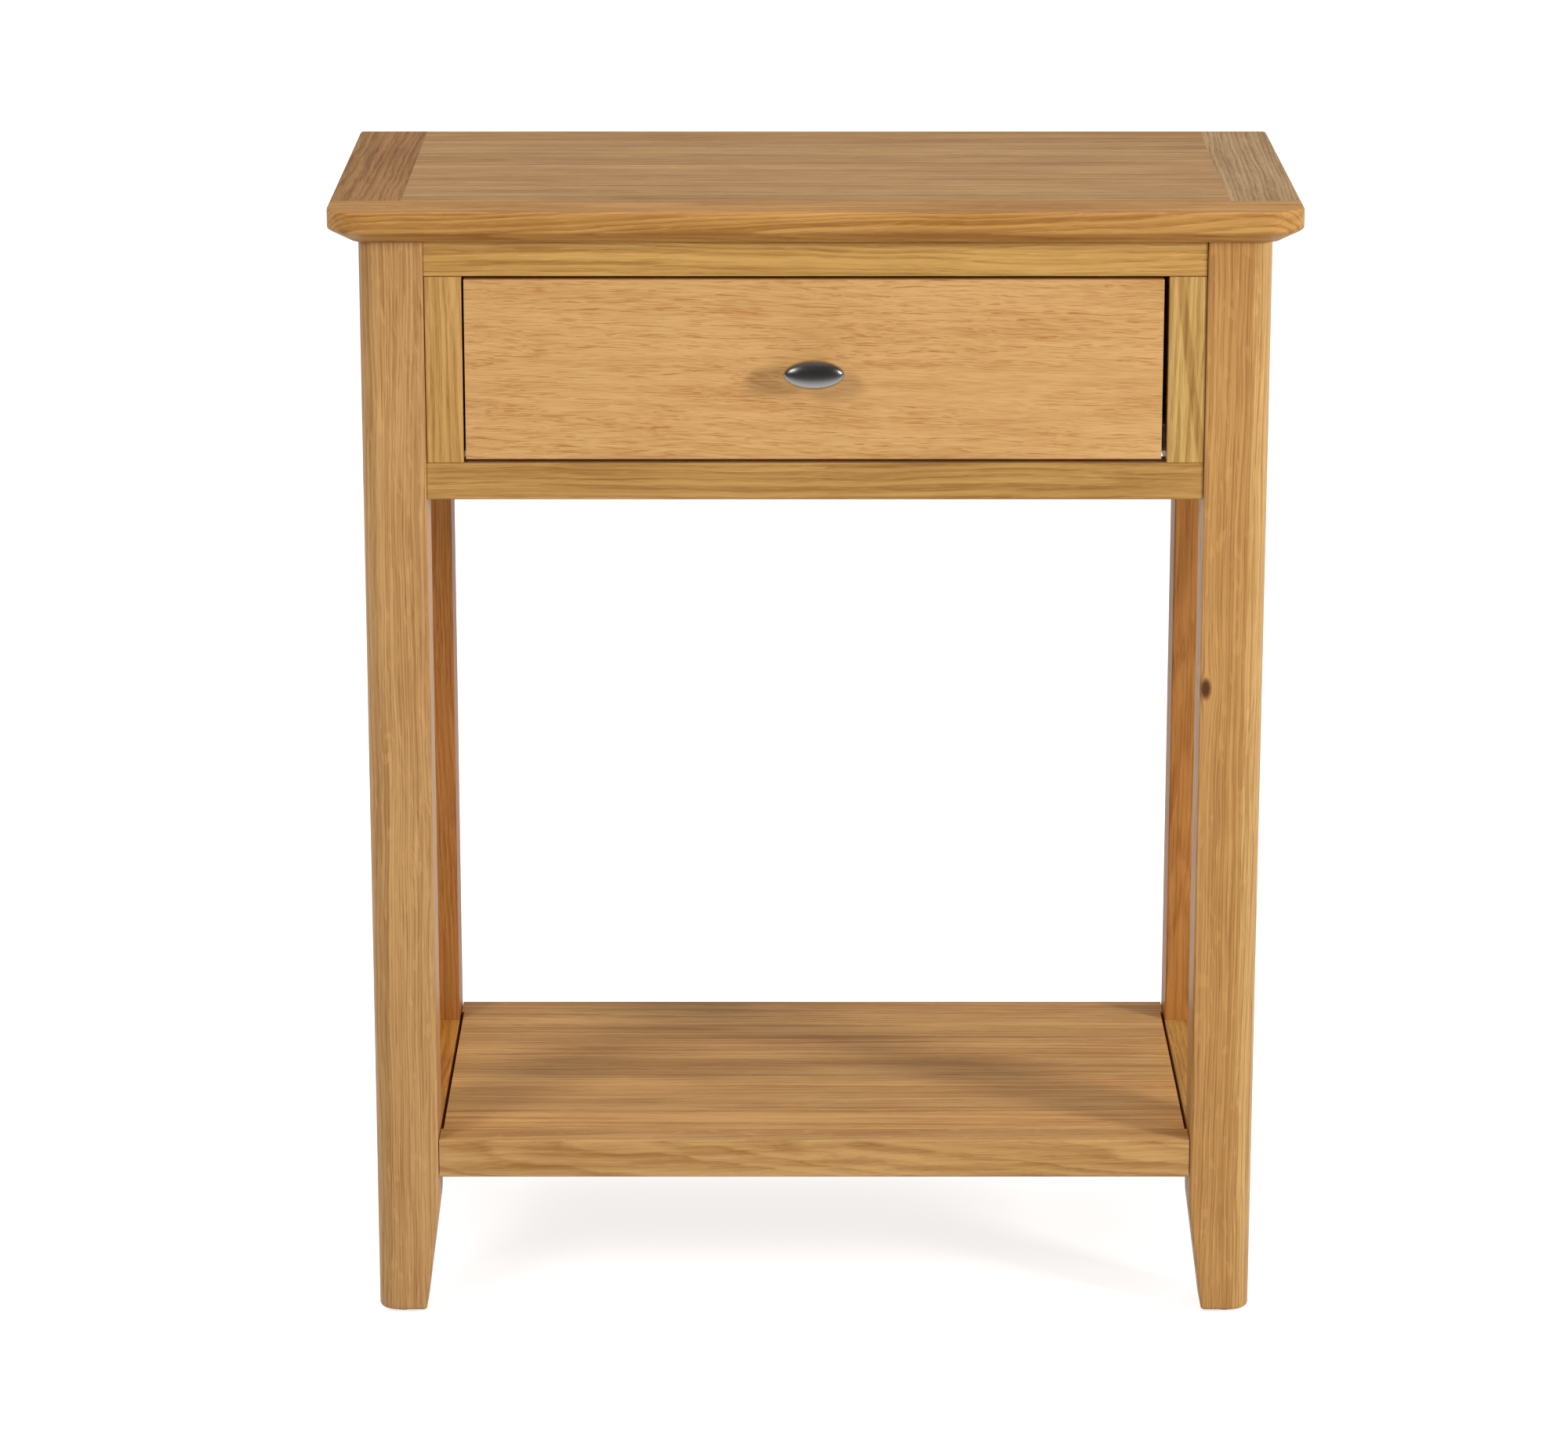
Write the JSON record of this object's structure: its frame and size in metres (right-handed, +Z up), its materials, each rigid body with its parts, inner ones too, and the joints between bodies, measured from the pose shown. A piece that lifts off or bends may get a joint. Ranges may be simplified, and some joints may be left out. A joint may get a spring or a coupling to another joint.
{
  "type": "side table with drawer",
  "caption": "Oak side table with a framed top, tapered legs, a low shelf and a drawer on roller runners with an oval metal knob.",
  "frame": {"origin": "on the floor, under the middle of the top", "axes": "+Z up; the drawer front faces -Y and opens along -Y; +X to the right seen from the front"},
  "size_m": [0.65, 0.33, 0.785],
  "materials": {
    "oak_top": "satin lacquered oak",
    "oak_leg": "satin lacquered oak",
    "oak_rail": "satin lacquered oak",
    "oak_shelf": "satin lacquered oak",
    "oak_drawer_front": "satin lacquered oak veneer",
    "drawer_box_wood": "clear sealed hardwood",
    "softwood": "planed and unfinished",
    "drawer_ply": "sealed plywood",
    "white_steel": "white powder coat",
    "roller_nylon": "moulded nylon",
    "brushed_nickel": "brushed nickel",
    "zinc_steel": "bright zinc plated steel",
    "glide_plastic": "dark brown plastic"
  },
  "bodies": {
    "frame": {"back_apron": "oak_rail", "cabinet_runner_screw_front_left": "zinc_steel", "cabinet_runner_screw_front_right": "zinc_steel", "cabinet_runner_screw_rear_left": "zinc_steel", "cabinet_runner_screw_rear_right": "zinc_steel", "drawer_bottom_rail": "oak_rail", "drawer_stile_left": "oak_rail", "drawer_stile_right": "oak_rail", "drawer_top_rail": "oak_rail", "foot_glide_front_left": "glide_plastic", "foot_glide_front_right": "glide_plastic", "foot_glide_rear_left": "glide_plastic", "foot_glide_rear_right": "glide_plastic", "leg_front_left": "oak_leg", "leg_front_right": "oak_leg", "leg_rear_left": "oak_leg", "leg_rear_right": "oak_leg", "roller_pin_front_left": "zinc_steel", "roller_pin_front_right": "zinc_steel", "runner_batten_left": "softwood", "runner_batten_right": "softwood", "runner_cabinet_left": "white_steel", "runner_cabinet_right": "white_steel", "shelf_back_band": "oak_shelf", "shelf_cleat_left": "softwood", "shelf_cleat_right": "softwood", "shelf_front_band": "oak_shelf", "shelf_panel": "oak_shelf", "shelf_side_rail_left": "oak_rail", "shelf_side_rail_right": "oak_rail", "side_apron_left": "oak_rail", "side_apron_right": "oak_rail", "top_back_band": "oak_top", "top_center_panel": "oak_top", "top_end_band_left": "oak_top", "top_end_band_right": "oak_top", "top_fixing_block_front_left": "softwood", "top_fixing_block_front_right": "softwood", "top_fixing_block_rear_left": "softwood", "top_fixing_block_rear_right": "softwood", "top_front_band": "oak_top", "top_screw_front_left": "zinc_steel", "top_screw_front_right": "zinc_steel", "top_screw_rear_left": "zinc_steel", "top_screw_rear_right": "zinc_steel"},
    "drawer": {"drawer_back": "drawer_box_wood", "drawer_bottom": "drawer_ply", "drawer_front": "oak_drawer_front", "drawer_knob": "brushed_nickel", "drawer_side_left": "drawer_box_wood", "drawer_side_right": "drawer_box_wood", "knob_screw": "zinc_steel", "roller_pin_rear_left": "zinc_steel", "roller_pin_rear_right": "zinc_steel", "runner_drawer_left": "white_steel", "runner_drawer_right": "white_steel"},
    "front_roller_left": {"roller_front_left": "roller_nylon"},
    "front_roller_right": {"roller_front_right": "roller_nylon"},
    "rear_roller_left": {"roller_rear_left": "roller_nylon"},
    "rear_roller_right": {"roller_rear_right": "roller_nylon"}
  },
  "joints": [
    {"name": "drawer_slide", "type": "slide", "parent": "frame", "child": "drawer", "axis": [0, -1, 0], "range_m": [0, 0.19]},
    {"name": "front_roller_left_spin", "type": "hinge", "parent": "frame", "child": "front_roller_left", "pos_m": [-0.23075, -0.11, 0.6235], "axis": [1, 0, 0], "continuous": true},
    {"name": "front_roller_right_spin", "type": "hinge", "parent": "frame", "child": "front_roller_right", "pos_m": [0.23075, -0.11, 0.6235], "axis": [1, 0, 0], "continuous": true},
    {"name": "rear_roller_left_spin", "type": "hinge", "parent": "drawer", "child": "rear_roller_left", "pos_m": [-0.22935, 0.11, 0.6235], "axis": [1, 0, 0], "continuous": true},
    {"name": "rear_roller_right_spin", "type": "hinge", "parent": "drawer", "child": "rear_roller_right", "pos_m": [0.22935, 0.11, 0.6235], "axis": [1, 0, 0], "continuous": true}
  ],
  "couplings": [
    {"joint": "front_roller_left_spin", "follows": "drawer_slide", "rad_per_m": 125},
    {"joint": "front_roller_right_spin", "follows": "drawer_slide", "rad_per_m": 125},
    {"joint": "rear_roller_left_spin", "follows": "drawer_slide", "rad_per_m": 125},
    {"joint": "rear_roller_right_spin", "follows": "drawer_slide", "rad_per_m": 125}
  ]
}
